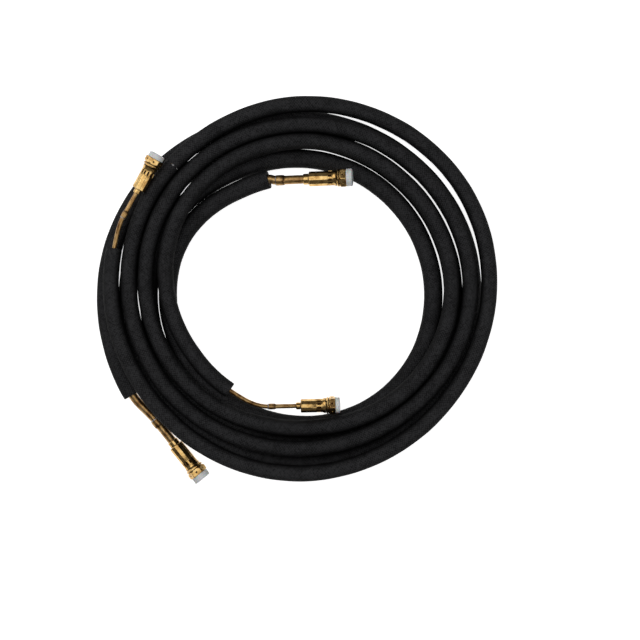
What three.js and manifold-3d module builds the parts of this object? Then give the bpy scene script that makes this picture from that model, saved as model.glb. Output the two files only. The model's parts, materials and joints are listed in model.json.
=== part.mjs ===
// Mini split line set: two insulated soft copper lines, five metres nominal, shipped as one flat coil.
// The half inch suction line lies on the floor and the quarter inch liquid line lies on top of it.
// Each of the four ends has a brazed stub with a brass coupling, a union nut and a plastic dust cap.
// Millimetres, +Z up, origin on the floor under the middle of the set's bounding box.
import * as THREE from 'three';
import { mergeVertices } from 'three/addons/utils/BufferGeometryUtils.js';
import Module from 'manifold-3d';

const wasm = await Module();
wasm.setup();

const gap = 0.3; // between solids that touch on the real thing
const fitGap = 0.2; // round the copper inside a brazed socket
const overcut = 1; // how far a cutting shape passes the faces it opens
const foamSides = 12;
const tubeSides = 8; // of the copper and of the hole through the foam
const boreSides = 6; // of the hole through the copper
const roundSides = 12; // of the turned brass, copper and plastic pieces
const nutSides = 6;

// Sizes of each line and of its couplings, lengths measured along the coupling's axis
const suction = {
  name: 'suction',
  copperOD: 12.7,
  copperWall: 0.8,
  foamOD: 27,
  cupLength: 10.4,
  stubLength: 39.1, // from the cup's mouth to the brass collar
  collarOD: 15.8,
  collarLength: 8.4,
  bodyAcross: 21.2,
  bodyLength: 27.4,
  neckLength: 7.5,
  coneLength: 4.5,
  noseOD: 15,
  skirtOD: 24.7,
  skirtLength: 5,
  nutAcross: 25.1,
  nutLength: 9.4,
  capOD: 25.6,
  capLength: 8.4,
};
const liquid = {
  name: 'liquid',
  copperOD: 6.35,
  copperWall: 0.8,
  foamOD: 23.5,
  cupLength: 9,
  stubLength: 39.5,
  collarOD: 10.2,
  collarLength: 6.7,
  bodyAcross: 19.4,
  bodyLength: 22.5,
  neckLength: 7.8,
  coneLength: 5.6,
  noseOD: 13,
  skirtOD: 23.4,
  skirtLength: 4.8,
  nutAcross: 23.5,
  nutLength: 8.7,
  capOD: 22.8,
  capLength: 6.8,
};

// Common to all four couplings
const socketDepth = 6; // of the stub pipe in the brass collar
const fluidWall = 2.6; // brass round the bore of the body
const brazeLength = 1.1;
const slotCount = 12; // and as many flats on the body
const slotDepth = 1.1;
const slotWidthShare = 0.5; // of one flat of the body
const slotMargin = 1; // of the neck, left whole at each end of a slot
const neckStep = 0.2; // the neck's radius over that of the flats
const coneTuck = 0.4; // the cone ends this much inside the nut's skirt
const lipLength = 3.2; // inner lip of the nut, behind the flange on the nose
const lipStep = 1.3;
const flangeLength = 1.8;
const dimpleOD = 2.6;
const dimpleDepth = 0.8;
const dimpleSides = 6;
const nutChamfer = 1.1;
const capWall = 1.6;
const capChamfer = 0.9;
const capPlugLength = 5;

// Each route is a smooth curve through stations every 30 degrees, counted anticlockwise.
// A station's radius is the route's base radius plus so many tube pitches.
const stationAngle = 30;
const ringAngle = 15; // between the rings of the swept tubes
const coilRadius = 190; // the suction line's base circle; both lines' pitches count outwards from theirs
const liquidInset = 14; // of the liquid line's base circle in the suction line's
const suctionRoute = {
  baseRadius: coilRadius,
  pitch: suction.foamOD + gap,
  firstStation: 60,
  startAngle: 104.4,
  endAngle: 1292.8,
  pitches: [
    -0.69, -0.95, -1.00, -0.22, -0.05, 0.03, 0.06, 0.28, 0.49, 0.48, 0.31, 0.10,
    0.00, 0.00, 0.05, 0.77, 0.98, 1.06, 1.17, 1.33, 1.50, 1.49, 1.38, 1.15,
    1.01, 1.02, 1.36, 1.77, 2.07, 2.18, 2.26, 2.35, 2.51, 2.50, 2.39, 2.25,
    2.03, 2.05, 2.40, 2.91, 3.24, 3.45, 3.66, 3.88,
  ],
};
const innerEndHeights = [46, 26, 6]; // how high the suction line's inner end rises at its first stations
const liquidRoute = {
  baseRadius: coilRadius - liquidInset,
  pitch: liquid.foamOD + gap,
  firstStation: 120,
  startAngle: 167.5,
  endAngle: 1316.6,
  pitches: [
    4.12, 3.97, 3.91, 3.64, 3.68, 3.80, 3.83, 3.94, 4.30, 4.53, 4.26, 3.80,
    3.33, 3.12, 2.76, 2.58, 2.40, 2.23, 2.38, 2.84, 3.21, 3.02, 2.78, 2.55,
    2.32, 2.11, 1.74, 1.50, 1.22, 0.92, 1.36, 1.83, 2.07, 1.89, 1.72, 1.55,
    1.31, 1.10, 0.49, -0.03, -0.02, -0.02,
  ],
};
const foamJointAngle = 495; // the liquid line's foam is two lengths, butted here

// Couplings: where the cup's mouth lies from the end of the foam, how far its axis turns,
// and how high the middle of the nut comes to lie
const onFloor = suction.foamOD / 2;
const onSuctionTurn = suction.foamOD + 2 * gap;
const suctionNutCorner = suction.nutAcross / Math.sqrt(3);
const outerNutHeight = 14; // of the liquid line's outer nut over the turn that it leaves
const innerNutHeight = 19.5; // of its inner nut over the middle of the suction turn beside it
const ends = {
  liquid_outer: {
    line: liquid, reach: 46.6, bearing: -5.6, turn: -18.5, roll: 8,
    nutHeight: onSuctionTurn + liquid.foamOD / 2 + outerNutHeight,
  },
  liquid_inner: {
    line: liquid, reach: 60.6, bearing: 11.2, turn: 35, roll: -16,
    nutHeight: onFloor + innerNutHeight,
  },
  suction_inner: {
    line: suction, reach: 11.5, bearing: -24, turn: -12.6, roll: -20,
    nutHeight: onSuctionTurn + suctionNutCorner,
  },
  suction_outer: {
    line: suction, reach: 48.7, bearing: 12.2, turn: 8.8, roll: 0,
    nutHeight: suction.capOD / 2 + gap,
  },
};
const bareSteps = 4; // rings along the bare copper between the foam and the cup

const finishes = {
  copper: { color: 0x9c6a35, roughness: 0.35, metalness: 1 },
  brass: { color: 0xb08a45, roughness: 0.3, metalness: 1 },
  solder: { color: 0xc8cbd0, roughness: 0.3, metalness: 1 },
  foam: { color: 0x17181a, roughness: 0.9, metalness: 0 },
  cap: { color: 0xe6e8ea, roughness: 0.4, metalness: 0 },
};

const lineSet = new THREE.Group();

function addPiece(parent, name, geometry, finish) {
  const piece = new THREE.Mesh(geometry, new THREE.MeshStandardMaterial(finishes[finish]));
  piece.name = name;
  parent.add(piece);
}

// Solids joined and cut

function toSolid(geometry) {
  const bare = geometry.clone();
  bare.deleteAttribute('normal');
  bare.deleteAttribute('uv');
  const merged = mergeVertices(bare);
  const corners = merged.index.array;
  const triangles = [];
  for (let i = 0; i < corners.length; i += 3) {
    const [a, b, c] = corners.slice(i, i + 3);
    if (a !== b && b !== c && c !== a) triangles.push(a, b, c);
  }
  return new wasm.Manifold(new wasm.Mesh({
    numProp: 3,
    vertProperties: new Float32Array(merged.attributes.position.array),
    triVerts: new Uint32Array(triangles),
  }));
}

function toGeometry(solid) {
  const mesh = solid.getMesh();
  const geometry = new THREE.BufferGeometry();
  geometry.setAttribute('position', new THREE.BufferAttribute(mesh.vertProperties, 3));
  geometry.setIndex(new THREE.BufferAttribute(mesh.triVerts, 1));
  geometry.computeVertexNormals();
  return geometry;
}

// A turned piece about the X axis; the profile is a list of [along, radius]
function turned(profile, sides = roundSides) {
  const points = profile.map(([along, radius]) => new THREE.Vector2(radius, along));
  return new THREE.LatheGeometry(points, sides).rotateZ(-Math.PI / 2);
}

// The same for a profile that goes round the axis without touching it
function turnedRing(profile, sides = roundSides) {
  return turned([...profile, profile[0]], sides);
}

// Corner radius of a polygon whose flats lie at the given radius
function cornerRadius(flatRadius, sides) {
  return flatRadius / Math.cos(Math.PI / sides);
}

// A prism along X with its first flat facing up
function prism(sides, flatRadius, start, length) {
  const corner = cornerRadius(flatRadius, sides);
  const shape = new THREE.Shape();
  for (let i = 0; i < sides; i++) {
    const angle = (i + 0.5) * 2 * Math.PI / sides;
    if (i === 0) shape.moveTo(corner * Math.cos(angle), corner * Math.sin(angle));
    else shape.lineTo(corner * Math.cos(angle), corner * Math.sin(angle));
  }
  shape.closePath();
  const geometry = new THREE.ExtrudeGeometry(shape, { depth: length, bevelEnabled: false });
  return geometry.rotateY(Math.PI / 2).translate(start, 0, 0);
}

// Routes of the two lines

// Uniform cubic B-spline through the values, at a place counted in stations
function smoothValue(values, place) {
  const low = Math.floor(place);
  const t = place - low;
  const [a, b, c, d] = values.slice(low - 1, low + 3);
  return (a * (1 - t) ** 3 + b * (4 - 6 * t ** 2 + 3 * t ** 3)
    + c * (1 + 3 * t + 3 * t ** 2 - 3 * t ** 3) + d * t ** 3) / 6;
}

function placeOn(route, angle) {
  return (angle - route.firstStation) / stationAngle;
}

function radiusAt(route, angle) {
  return route.baseRadius + route.pitch * smoothValue(route.pitches, placeOn(route, angle));
}

function pointAt(route, angle) {
  const radius = radiusAt(route, angle);
  const turn = THREE.MathUtils.degToRad(angle);
  const height = smoothValue(route.heights, placeOn(route, angle));
  return new THREE.Vector3(radius * Math.cos(turn), radius * Math.sin(turn), height);
}

// Radii of the suction line's turns that pass under an angle of the liquid line
function suctionTurnsUnder(angle) {
  const radii = [];
  for (let turn = angle % 360; turn <= suctionRoute.endAngle; turn += 360) {
    if (turn >= suctionRoute.startAngle) radii.push(radiusAt(suctionRoute, turn));
  }
  return radii;
}

// The liquid line lies on the suction line wherever their plans come close, and on the floor elsewhere
function liquidStationHeight(station) {
  const reach = (suction.foamOD + liquid.foamOD) / 2 + gap;
  const lastStation = liquidRoute.firstStation + stationAngle * (liquidRoute.pitches.length - 2);
  for (const angle of [station - ringAngle, station, station + ringAngle]) {
    const inside = Math.min(Math.max(angle, liquidRoute.firstStation + stationAngle), lastStation - 1);
    const radius = radiusAt(liquidRoute, inside);
    if (suctionTurnsUnder(inside).some((under) => Math.abs(under - radius) < reach)) {
      return onSuctionTurn + liquid.foamOD / 2;
    }
  }
  return liquid.foamOD / 2;
}

suctionRoute.heights = suctionRoute.pitches.map((_, i) => onFloor + (innerEndHeights[i] ?? 0));
liquidRoute.heights = liquidRoute.pitches.map(
  (_, i) => liquidStationHeight(liquidRoute.firstStation + stationAngle * i),
);

// Rings under the foam, at every ring angle between the two ends of a route
function foamRings(route) {
  const rings = [{ angle: route.startAngle, point: pointAt(route, route.startAngle) }];
  const firstAngle = (Math.floor(route.startAngle / ringAngle) + 1) * ringAngle;
  for (let angle = firstAngle; angle < route.endAngle - ringAngle / 2; angle += ringAngle) {
    rings.push({ angle, point: pointAt(route, angle) });
  }
  rings.push({ angle: route.endAngle, point: pointAt(route, route.endAngle) });
  return rings;
}

// Each ring faces along the line through its neighbours
function faceRings(rings) {
  rings.forEach((ring, i) => {
    const before = rings[Math.max(i - 1, 0)].point;
    const after = rings[Math.min(i + 1, rings.length - 1)].point;
    ring.tangent = after.clone().sub(before).normalize();
  });
}

// A path through rings with upright sections, so that foam and copper bend with each other
class TubePath extends THREE.Curve {
  constructor(rings) {
    super();
    this.rings = rings;
  }

  getSpacedPoints() {
    return this.rings.map((ring) => ring.point);
  }

  computeFrenetFrames(segments) {
    const frames = { tangents: [], normals: [], binormals: [] };
    for (let i = 0; i <= segments; i++) {
      const { tangent } = this.rings[i];
      const normal = new THREE.Vector3(-tangent.y, tangent.x, 0).normalize();
      frames.tangents.push(tangent);
      frames.normals.push(normal);
      frames.binormals.push(tangent.clone().cross(normal));
    }
    return frames;
  }
}

// Polygon with a flat at the bottom, for a swept section
function sectionPath(corner, sides) {
  const points = [];
  for (let i = 0; i < sides; i++) {
    const angle = (i + 0.5) * 2 * Math.PI / sides;
    points.push(new THREE.Vector2(corner * Math.cos(angle), corner * Math.sin(angle)));
  }
  return points;
}

function sweptTube(rings, outerCorner, outerSides, innerCorner, innerSides) {
  const section = new THREE.Shape(sectionPath(outerCorner, outerSides));
  section.holes.push(new THREE.Path(sectionPath(innerCorner, innerSides)));
  return new THREE.ExtrudeGeometry(section, {
    steps: rings.length - 1,
    extrudePath: new TubePath(rings),
  });
}

// Couplings: each is built along +X from the mouth of its cup, in a group that is then placed

function placeCoupling(end, foamEnd, nextPoint) {
  const { line } = end;
  const heading = Math.atan2(foamEnd.y - nextPoint.y, foamEnd.x - nextPoint.x);
  const towards = heading + THREE.MathUtils.degToRad(end.bearing);
  const axisHeading = heading + THREE.MathUtils.degToRad(end.turn);
  const nutMiddle = nutStart(line) + (line.skirtLength + line.nutLength) / 2;
  const slope = (end.nutHeight - foamEnd.z) / (end.reach + nutMiddle);
  const tilt = Math.atan(slope);
  const group = new THREE.Group();
  group.position.set(
    foamEnd.x + end.reach * Math.cos(towards),
    foamEnd.y + end.reach * Math.sin(towards),
    foamEnd.z + end.reach * slope,
  );
  group.rotation.set(0, -tilt, axisHeading, 'ZYX');
  const axis = new THREE.Vector3(
    Math.cos(axisHeading) * Math.cos(tilt),
    Math.sin(axisHeading) * Math.cos(tilt),
    Math.sin(tilt),
  );
  return { group, axis, heading };
}

// Bare copper from the foam to the cup, on a cubic curve that meets both straight, and on into the cup
function bareRings(end, foamEnd, coupling) {
  const leave = new THREE.Vector3(Math.cos(coupling.heading), Math.sin(coupling.heading), 0)
    .multiplyScalar(end.reach);
  const arrive = coupling.axis.clone().multiplyScalar(end.reach);
  const mouth = coupling.group.position;
  const rings = [];
  for (let i = 1; i <= bareSteps; i++) {
    const t = i / bareSteps;
    const point = new THREE.Vector3()
      .addScaledVector(foamEnd, 2 * t ** 3 - 3 * t ** 2 + 1)
      .addScaledVector(leave, t ** 3 - 2 * t ** 2 + t)
      .addScaledVector(mouth, 3 * t ** 2 - 2 * t ** 3)
      .addScaledVector(arrive, t ** 3 - t ** 2);
    rings.push({ point });
  }
  const depth = end.line.cupLength - 2 * end.line.copperWall;
  rings.push({ point: mouth.clone().addScaledVector(coupling.axis, depth) });
  return rings;
}

function bodyStart(line) {
  return line.stubLength + line.collarLength;
}

function nutStart(line) {
  return bodyStart(line) + line.bodyLength + line.neckLength + line.coneLength + gap;
}

function capStart(line) {
  return nutStart(line) + line.skirtLength + line.nutLength + gap;
}

function socketRadius(line) {
  return cornerRadius(line.copperOD / 2 + fitGap, roundSides);
}

function stubPipe(line) {
  const cupRadius = socketRadius(line) + line.copperWall;
  const bore = line.copperOD / 2 - line.copperWall;
  const end = line.stubLength + socketDepth;
  return turnedRing([
    [0, cupRadius],
    [line.cupLength - line.copperWall, cupRadius],
    [line.cupLength + line.copperWall, line.copperOD / 2],
    [end, line.copperOD / 2],
    [end, bore],
    [line.cupLength + line.copperWall, bore],
    [line.cupLength - line.copperWall, socketRadius(line)],
    [0, socketRadius(line)],
  ]);
}

function brazeRing(line) {
  const inner = socketRadius(line);
  return turnedRing([
    [-gap - brazeLength, inner + line.copperWall / 2],
    [-gap, inner + line.copperWall],
    [-gap, inner],
    [-gap - brazeLength, inner],
  ]);
}

// Brass body: round collar, flats, a slotted neck, a cone and the flanged nose inside the nut
function couplingBody(line) {
  const rear = line.stubLength;
  const flats = bodyStart(line);
  const neck = flats + line.bodyLength;
  const cone = neck + line.neckLength;
  const nose = cone + line.coneLength;
  const flange = nose + gap + lipLength + gap;
  const front = flange + flangeLength;
  const bore = line.noseOD / 2 - fluidWall;
  const socket = cornerRadius(line.copperOD / 2 + gap, roundSides);
  const neckRadius = line.bodyAcross / 2 + neckStep;
  const flangeRadius = line.noseOD / 2 + lipStep;
  const core = turnedRing([
    [rear, line.collarOD / 2 - line.copperWall],
    [rear + line.copperWall, line.collarOD / 2],
    [flats, line.collarOD / 2],
    [flats, line.bodyAcross / 2 - coneTuck],
    [neck, line.bodyAcross / 2 - coneTuck],
    [neck, neckRadius],
    [cone, neckRadius],
    [nose, line.skirtOD / 2 - coneTuck],
    [nose, line.noseOD / 2],
    [flange, line.noseOD / 2],
    [flange, flangeRadius],
    [front, flangeRadius],
    [front, bore],
    [rear + socketDepth + gap, Math.min(bore, line.copperOD / 2 - line.copperWall)],
    [rear + socketDepth + gap, socket],
    [rear, socket],
  ]);
  const shell = toSolid(prism(slotCount, line.bodyAcross / 2, flats, line.bodyLength))
    .subtract(toSolid(turned([
      [flats - overcut, 0],
      [flats - overcut, line.collarOD / 2 - coneTuck],
      [neck + overcut, line.collarOD / 2 - coneTuck],
      [neck + overcut, 0],
    ])));
  let body = toSolid(core).add(shell);
  const flatWidth = line.bodyAcross * Math.tan(Math.PI / slotCount);
  const slotLength = line.neckLength - 2 * slotMargin;
  const slot = new THREE.BoxGeometry(slotLength, flatWidth * slotWidthShare, 2 * slotDepth);
  slot.translate(neck + line.neckLength / 2, 0, line.bodyAcross / 2);
  slot.rotateX(Math.PI / slotCount); // to a corner of the flats
  for (let i = 0; i < slotCount; i++) {
    body = body.subtract(toSolid(slot));
    slot.rotateX(2 * Math.PI / slotCount);
  }
  return toGeometry(body);
}

// Union nut: a round skirt with the inner lip, then six flats with a dimple on each
function unionNut(line) {
  const rear = nutStart(line);
  const hex = rear + line.skirtLength;
  const front = hex + line.nutLength;
  const corner = cornerRadius(line.nutAcross / 2, nutSides);
  const lipRadius = cornerRadius(line.noseOD / 2 + gap, roundSides);
  const threadRadius = cornerRadius(line.noseOD / 2 + lipStep + gap, roundSides);
  const envelope = turned([
    [rear, 0],
    [rear, line.skirtOD / 2 - coneTuck],
    [rear + nutChamfer, line.skirtOD / 2],
    [hex, line.skirtOD / 2],
    [hex, line.nutAcross / 2],
    [hex + nutChamfer, corner],
    [front - nutChamfer, corner],
    [front, line.nutAcross / 2],
    [front, 0],
  ]);
  const bore = turned([
    [rear - overcut, 0],
    [rear - overcut, lipRadius],
    [rear + lipLength, lipRadius],
    [rear + lipLength, threadRadius],
    [front + overcut, threadRadius],
    [front + overcut, 0],
  ]);
  const outside = toSolid(prism(nutSides, line.nutAcross / 2, hex, line.nutLength))
    .add(toSolid(turned([
      [rear, 0],
      [rear, line.skirtOD / 2],
      [hex + overcut, line.skirtOD / 2],
      [hex + overcut, 0],
    ])));
  let nut = outside.intersect(toSolid(envelope)).subtract(toSolid(bore));
  const dimple = new THREE.CylinderGeometry(dimpleOD / 2, dimpleOD / 2, 2 * dimpleDepth, dimpleSides);
  dimple.rotateX(Math.PI / 2).translate(hex + line.nutLength / 2, 0, line.nutAcross / 2);
  for (let i = 0; i < nutSides; i++) {
    nut = nut.subtract(toSolid(dimple));
    dimple.rotateX(2 * Math.PI / nutSides);
  }
  return toGeometry(nut);
}

// Dust cap: a hollow plug in the nut's mouth behind a wide disc
function dustCap(line) {
  const face = capStart(line);
  const front = face + line.capLength;
  const plugRadius = line.noseOD / 2 + lipStep - gap;
  return turned([
    [front - capWall, 0],
    [front - capWall, plugRadius - capWall],
    [face - capPlugLength, plugRadius - capWall],
    [face - capPlugLength, plugRadius],
    [face, plugRadius],
    [face, line.capOD / 2],
    [front - capChamfer, line.capOD / 2],
    [front, line.capOD / 2 - capChamfer],
    [front, 0],
  ]);
}

function addCoupling(name, end, coupling) {
  const { line } = end;
  const { group } = coupling;
  addPiece(group, `${name}_stub_pipe`, stubPipe(line), 'copper');
  addPiece(group, `${name}_braze_ring`, brazeRing(line), 'solder');
  addPiece(group, `${name}_coupling_body`, couplingBody(line), 'brass');
  const turning = new THREE.Group();
  turning.rotation.x = THREE.MathUtils.degToRad(end.roll);
  addPiece(turning, `${name}_union_nut`, unionNut(line), 'brass');
  addPiece(turning, `${name}_dust_cap`, dustCap(line), 'cap');
  group.add(turning);
  lineSet.add(group);
}

// The lines themselves

function addLine(line, route, startName, endName) {
  const rings = foamRings(route);
  const first = rings[0].point;
  const last = rings[rings.length - 1].point;
  const startCoupling = placeCoupling(ends[startName], first, pointAt(route, route.startAngle + 1));
  const endCoupling = placeCoupling(ends[endName], last, pointAt(route, route.endAngle - 1));
  const copperRings = [
    ...bareRings(ends[startName], first, startCoupling).reverse(),
    ...rings,
    ...bareRings(ends[endName], last, endCoupling),
  ];
  faceRings(copperRings);
  const radius = line.copperOD / 2;
  const copper = sweptTube(copperRings, radius, tubeSides, radius - line.copperWall, boreSides);
  addPiece(lineSet, `${line.name}_copper_tube`, copper, 'copper');
  addCoupling(startName, ends[startName], startCoupling);
  addCoupling(endName, ends[endName], endCoupling);
  return rings;
}

function addFoam(name, line, rings) {
  const outer = cornerRadius(line.foamOD / 2, foamSides);
  const bore = cornerRadius(line.copperOD / 2 + gap, tubeSides);
  addPiece(lineSet, name, sweptTube(rings, outer, foamSides, bore, tubeSides), 'foam');
}

addFoam('suction_insulation', suction, addLine(suction, suctionRoute, 'suction_inner', 'suction_outer'));

const liquidRings = addLine(liquid, liquidRoute, 'liquid_outer', 'liquid_inner');
const joint = liquidRings.findIndex((ring) => ring.angle === foamJointAngle);
const { point, tangent } = liquidRings[joint];
const pastJoint = { point: point.clone().addScaledVector(tangent, gap), tangent };
addFoam('liquid_insulation_outer', liquid, liquidRings.slice(0, joint + 1));
addFoam('liquid_insulation_inner', liquid, [pastJoint, ...liquidRings.slice(joint + 1)]);

// The origin goes to the floor under the middle of the whole set
const bounds = new THREE.Box3().setFromObject(lineSet, true);
const middle = bounds.getCenter(new THREE.Vector3());
lineSet.position.set(-middle.x, -middle.y, -bounds.min.z);

export default lineSet;
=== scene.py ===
import json
import math

import bmesh
import bpy
import numpy as np
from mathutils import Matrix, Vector

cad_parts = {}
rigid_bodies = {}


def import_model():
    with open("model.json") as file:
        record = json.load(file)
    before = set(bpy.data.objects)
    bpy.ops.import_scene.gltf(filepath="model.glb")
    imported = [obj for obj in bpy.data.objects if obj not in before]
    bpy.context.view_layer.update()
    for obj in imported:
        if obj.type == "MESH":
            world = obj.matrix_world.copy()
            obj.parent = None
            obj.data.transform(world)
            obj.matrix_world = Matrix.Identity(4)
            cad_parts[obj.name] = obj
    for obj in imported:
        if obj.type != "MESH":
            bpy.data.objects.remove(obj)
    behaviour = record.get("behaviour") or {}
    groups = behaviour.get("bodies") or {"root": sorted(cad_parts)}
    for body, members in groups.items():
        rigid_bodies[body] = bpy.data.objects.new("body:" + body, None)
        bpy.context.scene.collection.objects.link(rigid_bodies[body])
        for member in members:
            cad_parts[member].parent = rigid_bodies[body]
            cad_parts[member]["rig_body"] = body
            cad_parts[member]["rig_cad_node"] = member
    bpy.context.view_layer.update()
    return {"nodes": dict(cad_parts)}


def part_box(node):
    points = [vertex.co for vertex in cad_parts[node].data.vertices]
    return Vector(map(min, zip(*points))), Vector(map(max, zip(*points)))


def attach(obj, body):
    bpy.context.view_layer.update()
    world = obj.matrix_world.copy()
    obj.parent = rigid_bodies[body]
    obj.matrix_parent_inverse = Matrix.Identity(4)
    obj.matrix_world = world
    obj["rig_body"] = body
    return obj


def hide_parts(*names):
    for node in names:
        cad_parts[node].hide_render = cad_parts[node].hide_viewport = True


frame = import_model()
print("frame loaded:", len(frame["nodes"]), "nodes")

# Mini split line set: a flat coil of two foam-insulated copper lines with brass couplings.
# Sizes in the dictionaries are millimetres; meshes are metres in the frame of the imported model.

mm = 0.001
gap = 0.3  # between pieces that touch
fitGap = 0.2  # round the copper in a brazed cup
dice = np.random.default_rng(12)

suction = {
    "copperOD": 12.7, "wall": 0.8, "foamOD": 27.0, "cupLength": 10.4, "stubLength": 39.1,
    "collarOD": 15.8, "collarLength": 8.4, "bodyAcross": 21.2, "bodyLength": 27.4,
    "neckLength": 7.5, "coneLength": 4.5, "noseOD": 15.0, "skirtOD": 24.7, "skirtLength": 5.0,
    "nutAcross": 25.1, "nutLength": 9.4, "capOD": 25.6, "capLength": 8.4,
}
liquid = {
    "copperOD": 6.35, "wall": 0.8, "foamOD": 23.5, "cupLength": 9.0, "stubLength": 39.5,
    "collarOD": 10.2, "collarLength": 6.7, "bodyAcross": 19.4, "bodyLength": 22.5,
    "neckLength": 7.8, "coneLength": 5.6, "noseOD": 13.0, "skirtOD": 23.4, "skirtLength": 4.8,
    "nutAcross": 23.5, "nutLength": 8.7, "capOD": 22.8, "capLength": 6.8,
}

# The two routes: radii at stations every 30 degrees, in tube pitches beyond each line's base circle
station = 30
cadStep = 15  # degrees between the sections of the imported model
cadBareSteps = 4  # and its steps along each bare copper end
foamSides = 12  # of its foam, and of its brazed cups
coilRadius = 190.0  # the suction line's base circle
liquidInset = 14.0  # of the liquid line's in it
suctionRoute = {
    "base": coilRadius, "pitch": suction["foamOD"] + gap, "first": 60,
    "start": 104.4, "end": 1292.8,
    "pitches": [
        -0.69, -0.95, -1.00, -0.22, -0.05, 0.03, 0.06, 0.28, 0.49, 0.48, 0.31, 0.10,
        0.00, 0.00, 0.05, 0.77, 0.98, 1.06, 1.17, 1.33, 1.50, 1.49, 1.38, 1.15,
        1.01, 1.02, 1.36, 1.77, 2.07, 2.18, 2.26, 2.35, 2.51, 2.50, 2.39, 2.25,
        2.03, 2.05, 2.40, 2.91, 3.24, 3.45, 3.66, 3.88,
    ],
}
liquidRoute = {
    "base": coilRadius - liquidInset, "pitch": liquid["foamOD"] + gap, "first": 120,
    "start": 167.5, "end": 1316.6,
    "pitches": [
        4.12, 3.97, 3.91, 3.64, 3.68, 3.80, 3.83, 3.94, 4.30, 4.53, 4.26, 3.80,
        3.33, 3.12, 2.76, 2.58, 2.40, 2.23, 2.38, 2.84, 3.21, 3.02, 2.78, 2.55,
        2.32, 2.11, 1.74, 1.50, 1.22, 0.92, 1.36, 1.83, 2.07, 1.89, 1.72, 1.55,
        1.31, 1.10, 0.49, -0.03, -0.02, -0.02,
    ],
}
foamJoint = 495  # where the liquid line's two foam lengths butt
innerEndLifts = [46, 26, 6]  # the inner end of the suction line rises onto the coil

onFloor = suction["foamOD"] / 2
onTurn = suction["foamOD"] + 2 * gap
suctionNutCorner = suction["nutAcross"] / math.sqrt(3)
outerNutHeight = 14.0  # of the liquid line's outer nut over the turn that it leaves
innerNutHeight = 19.5  # of its inner nut over the middle of the suction turn beside it
ends = {
    "liquid_outer": {"line": liquid, "reach": 46.6, "bearing": -5.6, "turn": -18.5, "roll": 8,
                     "nutHeight": onTurn + liquid["foamOD"] / 2 + outerNutHeight},
    "liquid_inner": {"line": liquid, "reach": 60.6, "bearing": 11.2, "turn": 35, "roll": -16,
                     "nutHeight": onFloor + innerNutHeight},
    "suction_inner": {"line": suction, "reach": 11.5, "bearing": -24, "turn": -12.6, "roll": -20,
                      "nutHeight": onTurn + suctionNutCorner},
    "suction_outer": {"line": suction, "reach": 48.7, "bearing": 12.2, "turn": 8.8, "roll": 0,
                      "nutHeight": suction["capOD"] / 2 + gap},
}


def smoothValue(values, place):
    # uniform cubic B-spline through values, place counted in stations
    values = np.asarray(values, float)
    low = np.floor(place).astype(int)
    t = place - low
    a, b, c, d = (values[low + k] for k in (-1, 0, 1, 2))
    return (a * (1 - t) ** 3 + b * (4 - 6 * t ** 2 + 3 * t ** 3)
            + c * (1 + 3 * t + 3 * t ** 2 - 3 * t ** 3) + d * t ** 3) / 6


def radiusAt(route, angle):
    place = (np.asarray(angle, float) - route["first"]) / station
    return route["base"] + route["pitch"] * smoothValue(route["pitches"], place)


def pointAt(route, angle):
    # (r cos a, r sin a, height), all three smooth in the angle a
    angle = np.asarray(angle, float)
    radius = radiusAt(route, angle)
    height = smoothValue(route["heights"], (angle - route["first"]) / station)
    turn = np.radians(angle)
    return np.stack([radius * np.cos(turn), radius * np.sin(turn), height], -1)


def liquidHeight(at):
    # on the suction line wherever one of its turns is close in plan, else on the floor
    near = (suction["foamOD"] + liquid["foamOD"]) / 2 + gap
    last = liquidRoute["first"] + station * (len(liquidRoute["pitches"]) - 2)
    for angle in (at - cadStep, at, at + cadStep):
        inside = min(max(angle, liquidRoute["first"] + station), last - 1)
        under = np.arange(inside % 360, suctionRoute["end"] + 1, 360)
        under = under[under >= suctionRoute["start"]]
        if np.any(abs(radiusAt(suctionRoute, under) - radiusAt(liquidRoute, inside)) < near):
            return onTurn + liquid["foamOD"] / 2
    return liquid["foamOD"] / 2


lifts = innerEndLifts + [0] * (len(suctionRoute["pitches"]) - len(innerEndLifts))
suctionRoute["heights"] = [onFloor + lift for lift in lifts]
liquidRoute["heights"] = [liquidHeight(liquidRoute["first"] + station * i)
                          for i in range(len(liquidRoute["pitches"]))]


def unit(vectors):
    return vectors / np.linalg.norm(vectors, axis=-1, keepdims=True)


def frames(path, tangents=None):
    # tangent, level normal and upright binormal at each point of a path
    if tangents is None:
        tangents = unit(np.gradient(path, axis=0))
    normals = np.stack([-tangents[:, 1], tangents[:, 0], np.zeros(len(path))], -1)
    normals = unit(normals)
    return tangents, normals, np.cross(tangents, normals)


def lengthsAlong(path):
    steps = np.linalg.norm(np.diff(path, axis=0), axis=1)
    return np.concatenate([[0], np.cumsum(steps)])


def placeCoupling(end, foamEnd, nextPoint):
    # the cup's mouth and the axes (along, level, up) of a coupling at the end of a line
    line = end["line"]
    heading = math.atan2(foamEnd[1] - nextPoint[1], foamEnd[0] - nextPoint[0])
    towards = heading + math.radians(end["bearing"])
    axisHeading = heading + math.radians(end["turn"])
    nutMiddle = nutStart(line) + (line["skirtLength"] + line["nutLength"]) / 2
    slope = (end["nutHeight"] - foamEnd[2]) / (end["reach"] + nutMiddle)
    tilt = math.atan(slope)
    mouth = foamEnd + end["reach"] * np.array([math.cos(towards), math.sin(towards), slope])
    along = np.array([math.cos(axisHeading) * math.cos(tilt),
                      math.sin(axisHeading) * math.cos(tilt), math.sin(tilt)])
    level = np.array([-math.sin(axisHeading), math.cos(axisHeading), 0])
    leave = np.array([math.cos(heading), math.sin(heading), 0])
    return {"mouth": mouth, "axes": np.stack([along, level, np.cross(along, level)]), "leave": leave}


def nutStart(line):
    return (line["stubLength"] + line["collarLength"] + line["bodyLength"] + line["neckLength"]
            + line["coneLength"] + gap)


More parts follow.
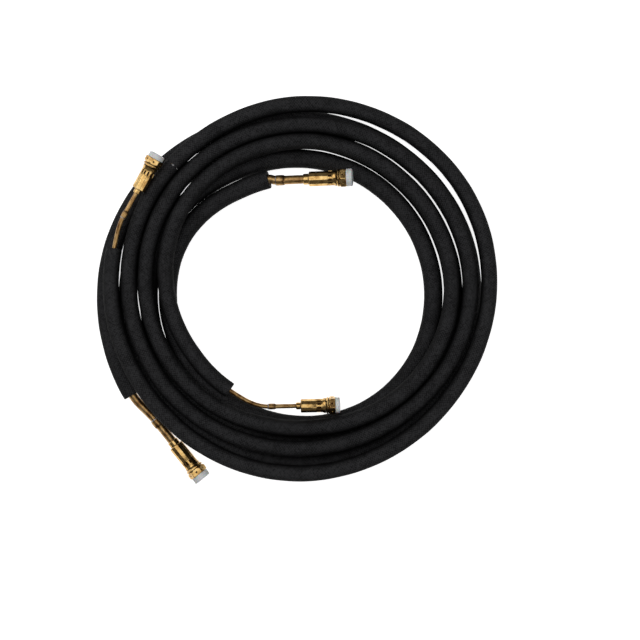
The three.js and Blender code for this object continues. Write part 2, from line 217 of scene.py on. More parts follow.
def bareCopper(end, foamEnd, coupling, count):
    # cubic Hermite curve from the foam to the cup, then straight into the cup
    t = np.linspace(0, 1, count + 1)[1:, None]
    reach = end["reach"]
    along = coupling["axes"][0]
    curve = (foamEnd * (2 * t ** 3 - 3 * t ** 2 + 1)
             + coupling["leave"] * reach * (t ** 3 - 2 * t ** 2 + t)
             + coupling["mouth"] * (3 * t ** 2 - 2 * t ** 3) + along * reach * (t ** 3 - t ** 2))
    depth = end["line"]["cupLength"] - 2 * end["line"]["wall"]
    return np.vstack([curve, coupling["mouth"] + depth * along])


def routeThrough(route, startName, endName, angles, bareCount):
    # foam path, copper path and the couplings at its two ends, about the coil's middle
    foam = pointAt(route, angles)
    start = placeCoupling(ends[startName], foam[0], pointAt(route, route["start"] + 1))
    end = placeCoupling(ends[endName], foam[-1], pointAt(route, route["end"] - 1))
    before = bareCopper(ends[startName], foam[0], start, bareCount)[::-1]
    after = bareCopper(ends[endName], foam[-1], end, bareCount)
    return {"foam": foam, "copper": np.vstack([before, foam, after]), "bare": len(before),
            startName: start, endName: end}


def anglesOf(route, step):
    inner = np.arange((route["start"] // step + 1) * step, route["end"] - step / 2, step)
    return np.concatenate([[route["start"]], inner, [route["end"]]]).astype(float)


# The coil's middle in the model's frame, from the lowest corner of the suction foam's solid
cadRoute = routeThrough(suctionRoute, "suction_inner", "suction_outer",
                        anglesOf(suctionRoute, cadStep), cadBareSteps)
tangents = np.gradient(cadRoute["copper"], axis=0)
keep = slice(cadRoute["bare"], cadRoute["bare"] + len(cadRoute["foam"]))
_, level, upright = frames(cadRoute["foam"], unit(tangents)[keep])
corner = suction["foamOD"] / 2 / math.cos(math.pi / foamSides)
around = np.radians(360 / foamSides * (np.arange(foamSides) + 0.5))[None, :, None]
outwards = np.cos(around) * level[:, None] + np.sin(around) * upright[:, None]
corners = cadRoute["foam"][:, None] + corner * outwards
shift = np.array(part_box("suction_insulation")[0]) / mm - corners.reshape(-1, 3).min(0)

# Surfaces


def loft(name, rows, u, v, loop=False):
    # section i is rows[i], a ring of points; each section joins its neighbours, and a loop joins the
    # last to the first; the UV map is (u of the section, v round it) in metres
    n, m = rows.shape[:2]
    i = np.arange(n if loop else n - 1)[:, None]
    j = np.arange(m)[None, :]
    nextRow = (i + 1) % n
    nextColumn = (j + 1) % m
    quads = np.stack([i * m + j, i * m + nextColumn, nextRow * m + nextColumn, nextRow * m + j], -1)
    quads = quads.reshape(-1, 4)
    mesh = bpy.data.meshes.new(name)
    mesh.vertices.add(n * m)
    mesh.vertices.foreach_set("co", ((rows + shift) * mm).reshape(-1).astype(np.float32))
    mesh.loops.add(quads.size)
    mesh.loops.foreach_set("vertex_index", quads.reshape(-1).astype(np.int32))
    mesh.polygons.add(len(quads))
    mesh.polygons.foreach_set("loop_start", np.arange(0, quads.size, 4, dtype=np.int32))
    mesh.update(calc_edges=True)
    shape = (len(i), m)
    us = np.stack([np.broadcast_to(a, shape) for a in (u[i], u[i], u[nextRow], u[nextRow])], -1)
    vs = np.stack([np.broadcast_to(a, shape) for a in (v[j], v[j + 1], v[j + 1], v[j])], -1)
    layer = mesh.uv_layers.new(name="skin")
    layer.data.foreach_set("uv", (np.stack([us, vs], -1) * mm).reshape(-1).astype(np.float32))
    mesh.polygons.foreach_set("use_smooth", np.ones(len(quads), bool))
    piece = bpy.data.objects.new(name, mesh)
    bpy.context.scene.collection.objects.link(piece)
    return piece


def closePoles(piece):
    # the rings of no radius at a pole become one point
    shape = bmesh.new()
    shape.from_mesh(piece.data)
    bmesh.ops.remove_doubles(shape, verts=shape.verts, dist=1e-7)
    shape.to_mesh(piece.data)
    shape.free()


def finishPiece(piece, body, node, material, sharp=None):
    piece.data.materials.append(material)
    if sharp:
        piece.data.set_sharp_from_angle(angle=math.radians(sharp))
    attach(piece, body)
    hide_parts(node)


def columns(count):
    # angles round a section, from the bottom, where the seam is
    return -math.pi / 2 + 2 * math.pi * np.arange(count) / count


def sweep(path, axes, radius, theta):
    # point = path + radius (cos theta level + sin theta upright)
    _, level, upright = axes
    theta = theta[None, :, None]
    around = np.cos(theta) * level[:, None] + np.sin(theta) * upright[:, None]
    return path[:, None] + radius[..., None] * around


def tubeRows(path, axes, outer, bore, theta, every, rounding):
    # outside from end to end with rounded rims, then back through the bore, which needs fewer sections
    lengths = lengthsAlong(path)
    span = lengths[-1]
    edge = np.minimum(lengths, span - lengths)
    inset = rounding * (1 - np.sqrt(np.clip(1 - (1 - np.clip(edge / rounding, 0, 1)) ** 2, 0, 1)))
    skin = sweep(path, axes, outer - inset[:, None], theta)
    picked = np.unique(np.concatenate([np.arange(0, len(path), every), [len(path) - 1]]))[::-1]
    boreAxes = tuple(a[picked] for a in axes)
    hole = sweep(path[picked], boreAxes, np.full((len(picked), len(theta)), bore), theta)
    return np.vstack([skin, hole]), np.concatenate([lengths, lengths[picked]])


def waves(s, theta, kinds):
    # sum of a cos(2 pi s / length + turns theta + phase)
    total = np.zeros(np.broadcast(s, theta).shape)
    for amount, length, turns in kinds:
        total += amount * np.cos(2 * math.pi * s / length + turns * theta + dice.uniform(0, 2 * math.pi))
    return total


# Foam and copper of a line

foamLook = {
    "columns": 48, "boreEvery": 6, "rounding": 0.35,
    "sag": [(0.12, 310, 1), (0.10, 173, 2), (0.08, 97, 1), (0.06, 61, 3), (0.05, 41, 2)],
    "crease": 0.22, "creasePitch": 17, "creaseSpread": 0.5,
    "wander": [(6, 230, 0), (4, 91, 0)], "fade": [(1, 410, 0)],
    "tickAt": -0.15, "tickWidth": 0.42, "upperBias": 0.05, "upperPower": 2.4,
}
copperLook = {
    "columns": 28, "boreEvery": 8, "rounding": 0.4, "dents": [(0.03, 83, 2), (0.02, 37, 3)],
    "ringBack": 32.0, "ringWidth": 1.2,
}


def mark(piece, name, values):
    # a value from 0 to 1 at each point, which the piece's material reads
    layer = piece.data.attributes.new(name, "FLOAT", "POINT")
    layer.data.foreach_set("value", np.float32(values).ravel())


def foamPiece(name, node, line, path, axes, material, jointAt=None):
    # radius = half the foam's size + slow waves + small creases on the inner side of the bend
    theta = columns(foamLook["columns"])
    s = lengthsAlong(path)[:, None]
    radius = line["foamOD"] / 2 + waves(s, theta[None, :], foamLook["sag"])
    inside = np.exp(-((theta + math.pi) % (2 * math.pi) - math.pi) ** 2 / foamLook["creaseSpread"])[None, :]
    wander = waves(s, 0 * theta[None, :], foamLook["wander"])
    fold = np.cos(2 * math.pi * (s + wander) / foamLook["creasePitch"]) ** 8
    strength = 0.5 + 0.5 * waves(s, 0 * theta[None, :], foamLook["fade"])
    radius -= foamLook["crease"] * inside * fold * strength
    rows, u = tubeRows(path, axes, radius, line["copperOD"] / 2 + gap, theta,
                       foamLook["boreEvery"], foamLook["rounding"])
    rows[..., 2] = np.maximum(rows[..., 2], 0)
    v = np.linspace(0, math.pi * line["foamOD"], len(theta) + 1)
    piece = loft(name, rows, u, v, loop=True)
    cut = np.zeros(rows.shape[:2], np.float32)
    if jointAt is not None:
        cut[jointAt] = np.exp(-((theta - math.pi / 2 - foamLook["tickAt"]) / foamLook["tickWidth"]) ** 2)
    mark(piece, "cutEdge", cut)
    # painted shade: the colour itself is graded, paler on top and black round the sides and below, as the
    # coil shades from above
    paintedShade = np.clip(np.sin(theta) + foamLook["upperBias"], 0, 1) ** foamLook["upperPower"]
    mark(piece, "paintedShade", np.broadcast_to(paintedShade, rows.shape[:2]))
    finishPiece(piece, "line_set", node, material, sharp=50)
    return piece


def copperPiece(name, node, line, path, material):
    # radius = half the tube's size + slight dents from bending
    theta = columns(copperLook["columns"])
    s = lengthsAlong(path)[:, None]
    radius = line["copperOD"] / 2 + waves(s, theta[None, :], copperLook["dents"])
    rows, u = tubeRows(path, frames(path), radius, line["copperOD"] / 2 - line["wall"], theta,
                       copperLook["boreEvery"], copperLook["rounding"])
    v = np.linspace(0, math.pi * line["copperOD"], len(theta) + 1)
    piece = loft(name, rows, u, v, loop=True)
    # a dark ring round the liquid line's tube, a little before its inner cup
    back = u - u[len(path) - 1] + copperLook["ringBack"]
    ring = np.exp(-(back / copperLook["ringWidth"]) ** 2) * (line is liquid)
    mark(piece, "darkened", np.repeat(ring, len(theta)))
    finishPiece(piece, "line_set", node, material, sharp=50)
    return piece


# Couplings: x runs along the axis from the cup's mouth, theta round it


def coupled(coupling, x, radius, theta):
    # point = mouth + x along + radius (cos theta level + sin theta up)
    along, level, up = coupling["axes"]
    around = np.cos(theta)[None, :, None] * level + np.sin(theta)[None, :, None] * up
    return coupling["mouth"] + x[:, None, None] * along + radius[..., None] * around


def polygon(theta, sides, roll, soft):
    # 1 / cos of the angle from the middle of the nearest flat, with the corners worn to soft
    flat = 2 * math.pi / sides
    away = (theta - roll - math.pi / 2 + flat / 2) % flat - flat / 2
    return np.minimum(1 / np.cos(away), soft / math.cos(flat / 2)), away


def called(end, piece):
    # liquid_outer and Nut give liquidOuterNut
    line, side = end.split("_")
    return line + side.title() + piece


def turnedPiece(name, coupling, x, radius, theta, size, loop, sharp, body, node, material, darkened=0):
    # sections of the given radius at x along the axis; darkened is 1 where the colour is to be dark:
    # painted shade in the brass's hollows and corners, and a dark band at a stub's neck
    rows = coupled(coupling, x, radius, theta)
    u = np.concatenate([[0], np.cumsum(np.hypot(np.diff(x), np.diff(radius.mean(1))))])
    piece = loft(name, rows, u, np.linspace(0, math.pi * size, len(theta) + 1), loop)
    mark(piece, "darkened", np.broadcast_to(darkened, radius.shape))
    if not loop:
        closePoles(piece)
    finishPiece(piece, body, node, material, sharp)
    return piece


def profile(points, theta):
    # sections of a turned shape from [x, radius] points
    points = np.array(points, float)
    return points[:, 0], np.repeat(points[:, 1:2], len(theta), 1)


def socketRadius(line):
    return (line["copperOD"] / 2 + fitGap) / math.cos(math.pi / foamSides)


stubLook = {"columns": 56, "lip": 0.25, "taperSteps": 7, "socketDepth": 6.0, "neckBand": 1.1}


def stubPipe(name, coupling, line, material):
    # cup with a rolled lip, an S-shaped taper down to the pipe, and the pipe's end in the brass collar
    theta = columns(stubLook["columns"])
    cup = socketRadius(line) + line["wall"]
    pipe = line["copperOD"] / 2
    bore = pipe - line["wall"]
    t = np.linspace(0, 1, stubLook["taperSteps"])
    ease = t * t * (3 - 2 * t)
    taper = np.stack([line["cupLength"] + line["wall"] * (4 * t - 1), cup + (pipe - cup) * ease], -1)
    back = np.stack([taper[::-1, 0], socketRadius(line) + (bore - socketRadius(line)) * ease[::-1]], -1)
    end = line["stubLength"] + stubLook["socketDepth"]
    lip = stubLook["lip"]
    straight = [[x, pipe] for x in np.linspace(taper[-1, 0] + 3, end - lip, 8)]
    points = [[0, cup - lip], [lip, cup], [line["cupLength"] / 2, cup + 0.05], *taper, *straight,
              [end, pipe - lip], [end, bore], *back, [0, socketRadius(line)]]
    x, radius = profile(points, theta)
    radius = radius + waves(x[:, None], theta[None, :], [(0.03, 29, 2), (0.02, 13, 3)])
    # a dark band round the stub where the cup starts to narrow to the pipe
    neck = np.exp(-((x - line["cupLength"]) / stubLook["neckBand"]) ** 2)[:, None]
    turnedPiece(called(name, "Stub"), coupling, x, radius, theta, line["copperOD"], True, 40,
                "line_set", f"{name}_stub_pipe", material, neck)


brazeLook = {"columns": 96, "length": 1.1, "lumps": [(0.10, 9, 3), (0.07, 5, 7), (0.05, 3, 13)]}


def brazeRing(name, coupling, line, material):
    # fillet of braze round the copper, with a lumpy skin
    theta = columns(brazeLook["columns"])
    inner = socketRadius(line)
    height = line["wall"]
    t = np.linspace(0, 1, 7)
    raised = inner + height * np.sin(t * math.pi / 2) ** 0.8
    bulge = np.stack([-gap - brazeLook["length"] * (1 - t), raised], -1)
    points = [*bulge, [-gap, inner]]
    x, radius = profile(points, theta)
    lumps = waves(x[:, None], theta[None, :], brazeLook["lumps"])
    radius = radius + lumps * (radius - inner) / height
    turnedPiece(called(name, "Braze"), coupling, x, radius, theta, line["copperOD"], True, 60,
                "line_set", f"{name}_braze_ring", material)


bodyLook = {
    "columns": 336, "flats": 12, "worn": 0.99, "slotDepth": 1.3, "slotHalfWidth": 1.4,
    "slotMargin": 0.9, "bevel": 0.35, "socketDepth": 6.0, "fluidWall": 2.6, "coneTuck": 0.4,
    "lipLength": 3.2, "lipStep": 1.3, "flangeLength": 1.8,
}


def couplingBody(name, coupling, line, material):
    # round collar, long flats, a neck with a slot at each corner, a cone, and the nose inside the nut;
    # each section is [x, radius, share of the flats' polygon, share of the slots, painted shade]
    theta = columns(bodyLook["columns"])
    b = bodyLook["bevel"]
    rear = line["stubLength"]
    flats = rear + line["collarLength"]
    neck = flats + line["bodyLength"]
    cone = neck + line["neckLength"]
    nose = cone + line["coneLength"]
    flange = nose + gap + bodyLook["lipLength"] + gap
    front = flange + bodyLook["flangeLength"]
    collar = line["collarOD"] / 2
    body = line["bodyAcross"] / 2
    bore = line["noseOD"] / 2 - bodyLook["fluidWall"]
    pipe = line["copperOD"] / 2
    lip = line["noseOD"] / 2 + bodyLook["lipStep"]
    skirt = line["skirtOD"] / 2 - bodyLook["coneTuck"]
    slotStart = neck + bodyLook["slotMargin"]
    slotEnd = cone - bodyLook["slotMargin"]
    socketEnd = rear + bodyLook["socketDepth"] + gap
    step = 0.05
    sections = [
        [rear, pipe + gap, 0, 0, 1], [rear, collar - 2.5 * b, 0, 0, 0.3],
        [rear + b, collar - b, 0, 0, 0], [rear + 2.5 * b, collar, 0, 0, 0],
        [flats - 3 * b, collar, 0, 0, 0], [flats - 2 * b, collar - b, 0, 0, 0.3],
        [flats - step, collar - b, 0, 0, 0.9], [flats, body - 3 * b, 0.3, 0, 0.6],
        [flats + b, body - b, 0.7, 0, 0.1], [flats + 2 * b, body, 1, 0, 0],
        [(flats + neck) / 2, body, 1, 0, 0], [neck - b, body, 1, 0, 0],
        [neck, body - 0.1, 0.9, 0, 0.7], [neck + b, body, 0.6, 0, 0.1],
        [slotStart, body, 0.6, 0, 0], [slotStart + step, body, 0.6, 1, 0],
        [slotEnd - step, body, 0.6, 1, 0], [slotEnd, body, 0.5, 0, 0],
        [cone, body + 0.1, 0.3, 0, 0.3],
        [cone + 0.3 * line["coneLength"], body + 0.1 * (skirt - body), 0.1, 0, 0],
        [cone + 0.7 * line["coneLength"], body + 0.7 * (skirt - body), 0, 0, 0],
        [nose - b, skirt - 0.5 * b, 0, 0, 0.3], [nose, skirt - b, 0, 0, 1],
        [nose, line["noseOD"] / 2, 0, 0, 1], [flange, line["noseOD"] / 2, 0, 0, 1],
        [flange, lip, 0, 0, 0], [front, lip, 0, 0, 0], [front, bore, 0, 0, 0],
        [socketEnd, min(bore, pipe - line["wall"]), 0, 0, 0], [socketEnd, pipe + gap, 0, 0, 0],
    ]
    sections = np.array(sections)
    factor, away = polygon(theta, bodyLook["flats"], 0, bodyLook["worn"])
    fromCorner = math.pi / bodyLook["flats"] - abs(away)
    slot = fromCorner * body < bodyLook["slotHalfWidth"]
    radius = sections[:, 1:2] * (1 + sections[:, 2:3] * (factor - 1))
    radius = radius - bodyLook["slotDepth"] * sections[:, 3:4] * slot
    # painted shade, darkest in the slots and at the body's inner corners, steps and bore edges
    darkened = np.maximum(sections[:, 3:4] * slot, sections[:, 4:5])
    turnedPiece(called(name, "Body"), coupling, sections[:, 0], radius, theta, line["bodyAcross"],
                True, 25, "line_set", f"{name}_coupling_body", material, darkened)


nutLook = {
    "columns": 300, "step": 0.35, "worn": 0.99, "rearCone": 1.5, "rearSlope": 0.85,
    "groove": 0.75, "grooveWidth": 1.1, "chamfer": 1.1, "dimple": 1.3, "dimpleDepth": 0.8,
    "dimpleSlope": 0.35,
    "lipLength": 3.2, "lipStep": 1.3,
}


def unionNut(name, coupling, line, roll, material):
    # six flats with a dimple on each, cut down by a cone at each end and by a groove behind the flats
    theta = columns(nutLook["columns"])
    rear = nutStart(line)
    hexStart = rear + line["skirtLength"]
    front = hexStart + line["nutLength"]
    across = line["nutAcross"] / 2
    corner = across / math.cos(math.pi / 6)
    xs = np.arange(rear, front, nutLook["step"])
    xs = np.unique(np.concatenate([xs, [hexStart, front]]))
    factor, away = polygon(theta, 6, math.radians(roll), nutLook["worn"])
    flat = across * factor[None, :]
    skirt = line["skirtOD"] / 2 - nutLook["rearCone"] + nutLook["rearSlope"] * (xs - rear)
    skirt = np.minimum(skirt, corner - 0.9)
    rise = across - 0.2 + nutLook["rearSlope"] * (xs - hexStart)
    limit = np.where(xs < hexStart, skirt, np.minimum(rise, corner))
    inGroove = (xs > hexStart - nutLook["grooveWidth"]) & (xs < hexStart)
    limit = np.where(inGroove, across - nutLook["groove"], limit)
    limit = np.minimum(limit, across + (front - xs) * (corner - across) / nutLook["chamfer"])
    radius = np.minimum(flat, limit[:, None])
    place = hexStart + line["nutLength"] / 2
    distance = np.hypot(xs[:, None] - place, (across * np.tan(away))[None, :])
    hollow = np.clip((nutLook["dimple"] - distance) / nutLook["dimpleSlope"], 0, 1)
    radius = radius - nutLook["dimpleDepth"] * hollow
    lip = line["noseOD"] / 2 + gap
    thread = lip + nutLook["lipStep"]
    # painted shade in the groove behind the flats and along the rear edge
    grooveShade = np.maximum(0.9 * inGroove, 0.8 * (xs < rear + 0.5 * nutLook["step"]))[:, None]
    lipEnd = rear + nutLook["lipLength"]
    inner, innerRadius = profile([[front, thread + 0.4], [front - 0.6, thread], [lipEnd, thread],
                                  [lipEnd, lip], [rear, lip]], theta)
    # painted shade in the dimples as well, none inside the bore
    darkened = np.vstack([np.maximum(hollow, grooveShade), np.zeros(innerRadius.shape)])
    turnedPiece(called(name, "Nut"), coupling, np.concatenate([xs, inner]),
                np.vstack([radius, innerRadius]), theta, line["nutAcross"], True, 25,
                f"{name}_nut", f"{name}_union_nut", material, darkened)


capLook = {
    "columns": 240, "wall": 1.6, "plugLength": 5.0, "shoulder": 1.3, "ribs": 48, "ribDepth": 0.12,
    "grooveDepth": 0.3, "dish": 0.5, "lipStep": 1.3,
}


def dustCap(name, coupling, line, roll, material):
    # hollow plug behind a disc with two grooves, fine ribs, a rounded shoulder and a dished face
    theta = columns(capLook["columns"])
    face = nutStart(line) + line["skirtLength"] + line["nutLength"] + gap
    front = face + line["capLength"]
    rim = line["capOD"] / 2
    plug = line["noseOD"] / 2 + capLook["lipStep"] - gap
    wall = capLook["wall"]
    shoulder = capLook["shoulder"]
    groove = capLook["grooveDepth"]
    turns = np.linspace(0, math.pi / 2, 6)
    rounded = [[front - shoulder + shoulder * math.sin(a), rim - shoulder + shoulder * math.cos(a)]
               for a in turns]
    third = (line["capLength"] - shoulder) / 3
    tail = face - capLook["plugLength"]
    points = [[front - wall, 0], [front - wall, plug - wall], [tail, plug - wall],
              [tail, plug - 0.4], [tail + 0.5, plug], [face, plug],
              [face, rim - 0.3], [face + 0.3, rim]]
    for i in (1, 2):
        x = face + i * third
        points += [[x - 0.5, rim], [x - 0.3, rim - groove], [x + 0.3, rim - groove], [x + 0.5, rim]]
    points += [*rounded, [front, rim - 2.5 * shoulder], [front - capLook["dish"], rim - 3.1 * shoulder],
               [front - capLook["dish"], 0]]
    x, radius = profile(points, theta)
    ribs = capLook["ribDepth"] * (0.5 + 0.5 * np.cos(capLook["ribs"] * (theta - math.radians(roll))))
    onRim = (radius > rim - 0.01 - groove)
    radius = radius - onRim * ribs[None, :]
    turnedPiece(called(name, "Cap"), coupling, x, radius, theta, line["capOD"], False, 35,
                f"{name}_cap", f"{name}_dust_cap", material)


# Materials: every pattern reads Object coordinates or the piece's own skin map (metres)


class Finish:
    # a Principled material with small helpers for its pattern nodes
    def __init__(self, name, **sockets):
        self.material = bpy.data.materials.new(name)
        self.material.use_nodes = True
        self.tree = self.material.node_tree
        self.shader = self.tree.nodes["Principled BSDF"]
        for socket, value in sockets.items():
            self.shader.inputs[socket.replace("_", " ")].default_value = value
        self.places = self.tree.nodes.new("ShaderNodeTexCoord")
        self.skin = self.tree.nodes.new("ShaderNodeUVMap")
        self.skin.uv_map = "skin"

    def join(self, a, b):
        self.tree.links.new(a, b)

    def stretched(self, source, scale, turn=0.0):
        # the coordinates turned about Z, then scaled
        node = self.tree.nodes.new("ShaderNodeMapping")
        node.vector_type = "POINT"
        node.inputs["Scale"].default_value = scale
        node.inputs["Rotation"].default_value = (0, 0, turn)
        self.join(source, node.inputs["Vector"])
        return node.outputs["Vector"]

    def noise(self, vector, scale, detail=2.0, roughness=0.5):
        node = self.tree.nodes.new("ShaderNodeTexNoise")
        node.inputs["Scale"].default_value = scale
        node.inputs["Detail"].default_value = detail
        node.inputs["Roughness"].default_value = roughness
        self.join(vector, node.inputs["Vector"])
        return node.outputs["Fac"]

    def bands(self, vector, scale, distortion=0.0):
        node = self.tree.nodes.new("ShaderNodeTexWave")
        node.inputs["Scale"].default_value = scale
        node.inputs["Distortion"].default_value = distortion
        self.join(vector, node.inputs["Vector"])
        return node.outputs["Fac"]

    def ramp(self, source, stops):
        node = self.tree.nodes.new("ShaderNodeValToRGB")
        elements = node.color_ramp.elements
        while len(elements) < len(stops):
            elements.new(0.5)
        for element, (place, colour) in zip(elements, stops):
            element.position = place
            element.color = (*colour, 1)
        self.join(source, node.inputs["Fac"])
        return node.outputs["Color"]

    def spread(self, source, low, high, start=0.0, stop=1.0):
        node = self.tree.nodes.new("ShaderNodeMapRange")
        node.inputs["From Min"].default_value = start
        node.inputs["From Max"].default_value = stop
        node.inputs["To Min"].default_value = low
        node.inputs["To Max"].default_value = high
        self.join(source, node.inputs["Value"])
        return node.outputs["Result"]

    def attribute(self, name):
        node = self.tree.nodes.new("ShaderNodeAttribute")
        node.attribute_name = name
        return node.outputs["Fac"]

    def blend(self, share, a, b):
        # the colour a, and b where the share is one
        node = self.tree.nodes.new("ShaderNodeMix")
        node.data_type = "RGBA"
        self.join(share, node.inputs["Factor"])
        self.join(a, node.inputs["A"])
        node.inputs["B"].default_value = (*b, 1)
        return node.outputs["Result"]

    def both(self, kind, a, b):
        node = self.tree.nodes.new("ShaderNodeMath")
        node.operation = kind
        self.join(a, node.inputs[0])
        if isinstance(b, (int, float)):
            node.inputs[1].default_value = b
        else:
            self.join(b, node.inputs[1])
        return node.outputs["Value"]

    def colour(self, source):
        self.join(source, self.shader.inputs["Base Color"])

    def colourNow(self):
        return self.shader.inputs["Base Color"].links[0].from_socket

    def rough(self, source):
        self.join(source, self.shader.inputs["Roughness"])

    def bump(self, source, strength, distance):
        node = self.tree.nodes.new("ShaderNodeBump")
        node.inputs["Strength"].default_value = strength
        node.inputs["Distance"].default_value = distance
        previous = self.shader.inputs["Normal"].links
        if previous:
            self.join(previous[0].from_socket, node.inputs["Normal"])
        self.join(source, node.inputs["Height"])
        self.join(node.outputs["Normal"], self.shader.inputs["Normal"])


def foamFinish(name, dark, light):
    # black foam skin: a coarse mottled grain over a fine crossed one, cloudy patches, paler where two butt
    finish = Finish(name, Metallic=0.0, Specular_IOR_Level=0.12)
    skin = finish.skin.outputs["UV"]
    places = finish.places.outputs["Object"]
    rising = finish.bands(finish.stretched(skin, (1, 1, 1), math.radians(38)), 105, 2.2)
    falling = finish.bands(finish.stretched(skin, (1, 1, 1), math.radians(-38)), 105, 2.2)
    weave = finish.both("MULTIPLY", rising, falling)
    grain = finish.noise(places, 330, 3.0, 0.6)
    clouds = finish.noise(places, 55, 4.0, 0.6)
    mottled = finish.both("ADD", finish.both("MULTIPLY", weave, 0.35), finish.both("MULTIPLY", grain, 0.8))
    mottled = finish.both("ADD", mottled, finish.both("MULTIPLY", clouds, 0.5))
    grainy = finish.spread(mottled, 0.3, 1.3, 0.58, 0.92)
    # painted shade: the grain's colour is scaled by the paintedShade attribute, black round the sides and
    # paler on top
    graded = finish.both("MULTIPLY", finish.attribute("paintedShade"), grainy)
    black = finish.ramp(graded, [(0.05, dark), (1.0, light)])
    cut = finish.ramp(finish.attribute("cutEdge"), [(0.78, (0, 0, 0)), (0.86, (1, 1, 1))])
    finish.colour(finish.blend(cut, black, (0.34, 0.34, 0.35)))
    finish.rough(finish.spread(clouds, 0.66, 0.86))
    finish.bump(weave, 0.7, 0.0006)
    finish.bump(grain, 0.9, 0.0012)
    return finish.material


def copperFinish():
    # drawn copper tube with lengthwise streaks and brown and grey heat stains
    finish = Finish("drawnCopper", Metallic=1.0)
    skin = finish.skin.outputs["UV"]
    streaks = finish.noise(finish.stretched(skin, (30, 900, 1)), 1.0, 4.0, 0.6)
    stains = finish.noise(finish.places.outputs["Object"], 95, 5.0, 0.65)
    mixed = finish.both("ADD", finish.both("MULTIPLY", streaks, 0.45),
                        finish.both("MULTIPLY", stains, 0.55))
    finish.colour(finish.ramp(mixed, [(0.36, (0.10, 0.048, 0.018)), (0.46, (0.27, 0.14, 0.05)),
                                      (0.56, (0.56, 0.36, 0.145)), (0.70, (0.40, 0.34, 0.29))]))
    # darker where the darkened attribute is 1: the band at each stub's neck and the ring on the liquid tube
    finish.colour(finish.blend(finish.attribute("darkened"), finish.colourNow(), (0.05, 0.025, 0.012)))
    finish.rough(finish.spread(stains, 0.24, 0.52))
    finish.bump(streaks, 0.25, 0.0001)
    return finish.material


def brassFinish():
    # machined brass: fine lathe rings across, lengthwise scratches, browner in patches
    finish = Finish("machinedBrass", Metallic=1.0)
    skin = finish.skin.outputs["UV"]
    rings = finish.noise(finish.stretched(skin, (2600, 40, 1)), 1.0, 2.0, 0.5)
    drawn = finish.noise(finish.stretched(skin, (60, 1500, 1)), 1.0, 3.0, 0.6)
    patches = finish.noise(finish.places.outputs["Object"], 130, 4.0, 0.6)
    finish.colour(finish.ramp(patches, [(0.35, (0.34, 0.19, 0.06)), (0.5, (0.60, 0.38, 0.135)),
                                        (0.68, (0.76, 0.53, 0.23))]))
    # painted shade: near black where the darkened attribute marks the slots, dimples, groove and inner
    # corners
    finish.colour(finish.blend(finish.attribute("darkened"), finish.colourNow(), (0.035, 0.018, 0.006)))
    finish.rough(finish.spread(finish.both("MULTIPLY", drawn, patches), 0.16, 0.46))
    finish.bump(rings, 0.12, 0.00005)
    finish.bump(drawn, 0.15, 0.00006)
    return finish.material


def solderFinish():
    # silver braze, bright and a little rippled
    finish = Finish("silverBraze", Metallic=1.0)
    ripple = finish.noise(finish.places.outputs["Object"], 700, 3.0, 0.6)
    finish.colour(finish.ramp(ripple, [(0.3, (0.30, 0.30, 0.31)), (0.7, (0.58, 0.59, 0.61))]))
    finish.rough(finish.spread(ripple, 0.25, 0.45))
    finish.bump(ripple, 0.3, 0.0002)
    return finish.material


def capFinish():
    # milky soft plastic with a faint moulded texture
    finish = Finish("milkyPlastic", Metallic=0.0, Subsurface_Weight=0.2, Subsurface_Scale=0.003)
    clouds = finish.noise(finish.places.outputs["Object"], 220, 3.0, 0.5)
    hoops = finish.bands(finish.skin.outputs["UV"], 130, 0.4)
    milky = finish.both("ADD", finish.both("MULTIPLY", clouds, 0.6), finish.both("MULTIPLY", hoops, 0.4))
    finish.colour(finish.ramp(milky, [(0.25, (0.84, 0.86, 0.87)), (0.75, (0.97, 0.98, 0.98))]))
    finish.rough(finish.spread(clouds, 0.25, 0.45))
    finish.bump(clouds, 0.2, 0.0002)
    return finish.material


def floorFinish():
    # plain white floor with a faint unevenness, evenly lit from below
    finish = Finish("paleFloor", Metallic=0.0, Emission_Strength=0.85)
    clouds = finish.noise(finish.places.outputs["Object"], 3, 2.0, 0.5)
    finish.colour(finish.ramp(clouds, [(0.3, (0.90, 0.90, 0.90)), (0.7, (0.93, 0.93, 0.93))]))
    finish.rough(finish.spread(clouds, 0.6, 0.8))
    return finish.material


# Camera: straight down, as wide as the photograph's frame

cameraLook = {
    "frameWidth": 928.0, "height": 2600.0, "level": 25.0, "right": 33.4, "up": -45.0, "sensor": 36.0,
}


def addCamera():
    data = bpy.data.cameras.new("camera")
    data.sensor_width = cameraLook["sensor"]
    distance = cameraLook["height"] - cameraLook["level"]
    data.lens = cameraLook["sensor"] * distance / cameraLook["frameWidth"]
    data.clip_end = 20
    camera = bpy.data.objects.new("camera", data)
    place = shift + [cameraLook["right"], cameraLook["up"], cameraLook["height"]]
    camera.location = Vector(place * mm)
    bpy.context.scene.collection.objects.link(camera)
    bpy.context.scene.camera = camera


addCamera()

# The lines

foamStep = 1.25  # degrees between sections
bareSteps = 24  # along each bare copper end
foamBlack = foamFinish("foamBlack", (0.0008, 0.0008, 0.0009), (0.036, 0.036, 0.038))
foamSoot = foamFinish("foamSoot", (0.0009, 0.0009, 0.0010), (0.040, 0.040, 0.042))
copper = copperFinish()
brass = brassFinish()
solder = solderFinish()
plastic = capFinish()


def buildLine(route, startName, endName):
    angles = anglesOf(route, foamStep)
    made = routeThrough(route, startName, endName, angles, bareSteps)
    axes = frames(made["copper"])
    inFoam = slice(made["bare"], made["bare"] + len(made["foam"]))
    made["foamAxes"] = tuple(a[inFoam] for a in axes)
    made["angles"] = angles
    return made


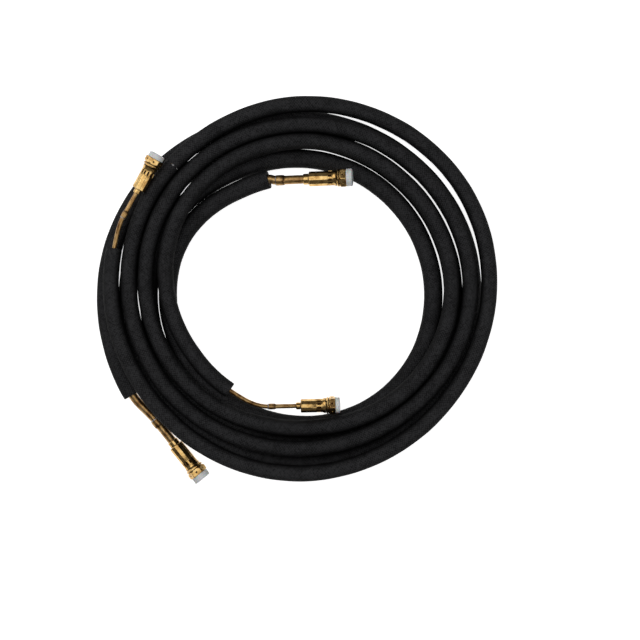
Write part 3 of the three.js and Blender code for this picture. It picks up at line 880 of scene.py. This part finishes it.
suctionMade = buildLine(suctionRoute, "suction_inner", "suction_outer")
liquidMade = buildLine(liquidRoute, "liquid_outer", "liquid_inner")
tubes = {
    "suction": copperPiece("suctionCopper", "suction_copper_tube", suction,
                           suctionMade["copper"], copper),
    "liquid": copperPiece("liquidCopper", "liquid_copper_tube", liquid,
                          liquidMade["copper"], copper),
}
foamPiece("suctionFoam", "suction_insulation", suction, suctionMade["foam"],
          suctionMade["foamAxes"], foamBlack)
joint = int(np.searchsorted(liquidMade["angles"], foamJoint))
outerFoam = slice(0, joint + 1)
innerFoam = slice(joint, None)
innerPath = liquidMade["foam"][innerFoam].copy()
innerPath[0] += gap * liquidMade["foamAxes"][0][joint]
foamPiece("liquidFoamOuter", "liquid_insulation_outer", liquid, liquidMade["foam"][outerFoam],
          tuple(a[outerFoam] for a in liquidMade["foamAxes"]), foamSoot,
          jointAt=joint)
foamPiece("liquidFoamInner", "liquid_insulation_inner", liquid, innerPath,
          tuple(a[innerFoam] for a in liquidMade["foamAxes"]), foamBlack,
          jointAt=0)
print("lines made")

for name, end in ends.items():
    coupling = {**suctionMade, **liquidMade}[name]
    line = end["line"]
    roll = end["roll"]
    stubPipe(name, coupling, line, copper)
    brazeRing(name, coupling, line, solder)
    couplingBody(name, coupling, line, brass)
    unionNut(name, coupling, line, roll, brass)
    dustCap(name, coupling, line, roll, plastic)
print("couplings made")

# Floor and soft studio light

floorLook = {"columns": 96, "rings": [0.0, 500.0, 1500.0, 4000.0], "below": 0.1}


def addFloor():
    # level rings about the coil's middle, a hair below its underside
    radii = np.array(floorLook["rings"])
    turns = -np.radians(np.arange(floorLook["columns"]) * 360 / floorLook["columns"])
    rows = np.stack([radii[:, None] * np.cos(turns), radii[:, None] * np.sin(turns),
                     np.full((len(radii), len(turns)), -floorLook["below"] - shift[2])], -1)
    floor = loft("floor", rows, radii, np.linspace(0, radii[-1], len(turns) + 1))
    closePoles(floor)
    floor.data.materials.append(floorFinish())
    floor.visible_diffuse = False


lamps = {
    "key": {"place": (-1.5, 1.15, 1.7), "size": 1.8, "power": 20},
    "overhead": {"place": (-0.25, 0.2, 2.9), "size": 1.9, "power": 16},
    "fill": {"place": (1.4, -1.1, 1.7), "size": 1.6, "power": 10},
}
skyStrength = 0.10


def addLamps():
    for name, lamp in lamps.items():
        data = bpy.data.lights.new(name, "AREA")
        data.size = lamp["size"]
        data.energy = lamp["power"]
        light = bpy.data.objects.new(name, data)
        light.location = lamp["place"]
        light.rotation_euler = (-Vector(lamp["place"])).to_track_quat("-Z", "Y").to_euler()
        bpy.context.scene.collection.objects.link(light)
    world = bpy.data.worlds.new("studio")
    world.use_nodes = True
    background = world.node_tree.nodes["Background"]
    background.inputs["Color"].default_value = (1, 1, 1, 1)
    background.inputs["Strength"].default_value = skyStrength
    bpy.context.scene.world = world
    bpy.context.scene.view_settings.view_transform = "Standard"  # white stays white


addFloor()
addLamps()
print("floor and lamps made")
